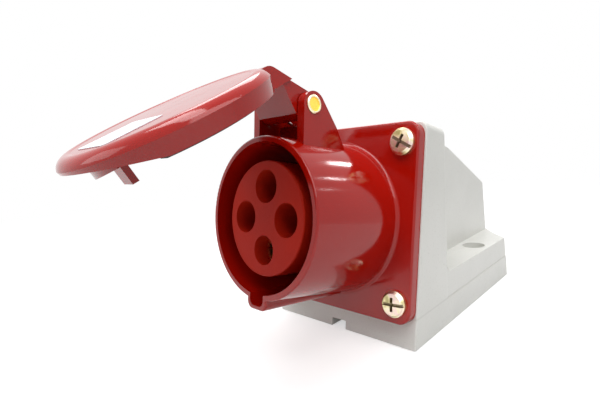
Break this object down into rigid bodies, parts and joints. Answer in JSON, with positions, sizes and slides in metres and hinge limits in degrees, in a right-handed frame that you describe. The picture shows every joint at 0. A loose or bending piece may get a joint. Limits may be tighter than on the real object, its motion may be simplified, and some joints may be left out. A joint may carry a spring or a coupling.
{
  "type": "industrial surface socket",
  "caption": "Wall-mounted industrial power socket: round red shroud with a hinged spring lid on a square flange, pin sleeves inside, sloping pale box behind with a cable gland.",
  "frame": {"origin": "wall face, midway between the two wall-fixing holes", "axes": "+Z away from the wall, -Y towards the plug side and along the box's length, +X to the right seen from the plug side"},
  "size_m": [0.0764, 0.2244, 0.1009],
  "materials": {
    "red_moulding": "glossy",
    "box_moulding": "semi-gloss",
    "insert_moulding": "satin",
    "dark_moulding": "matte",
    "gland_moulding": "satin",
    "soft_seal": "matte",
    "label": "satin",
    "yellow_zinc": "zinc plated, yellow passivated",
    "bright_steel": "bright",
    "brass": "bare",
    "pin_brass": "bare"
  },
  "bodies": {
    "socket": {"back_box": "box_moulding", "front_housing": "red_moulding", "flange_gasket": "soft_seal", "flange_screws": "yellow_zinc", "hinge_pin": "pin_brass", "lid_spring": "bright_steel", "contact_insert": "insert_moulding", "contact_l1": "brass", "contact_l2": "brass", "contact_l3": "brass", "contact_earth": "brass", "terminal_screws": "bright_steel", "contact_retainer": "dark_moulding", "retainer_screws": "bright_steel", "gland_body": "gland_moulding", "gland_seal": "soft_seal", "gland_nut": "gland_moulding", "gland_locknut": "gland_moulding"},
    "cover": {"lid": "red_moulding", "lid_gasket": "soft_seal", "lid_label": "label"}
  },
  "joints": [
    {"name": "lid_hinge", "type": "hinge", "parent": "socket", "child": "cover", "pos_m": [0, -0.09398, 0.0903], "axis": [1, 0, 0], "range_deg": [-46, 53.4], "deforming": ["lid_spring"]}
  ]
}
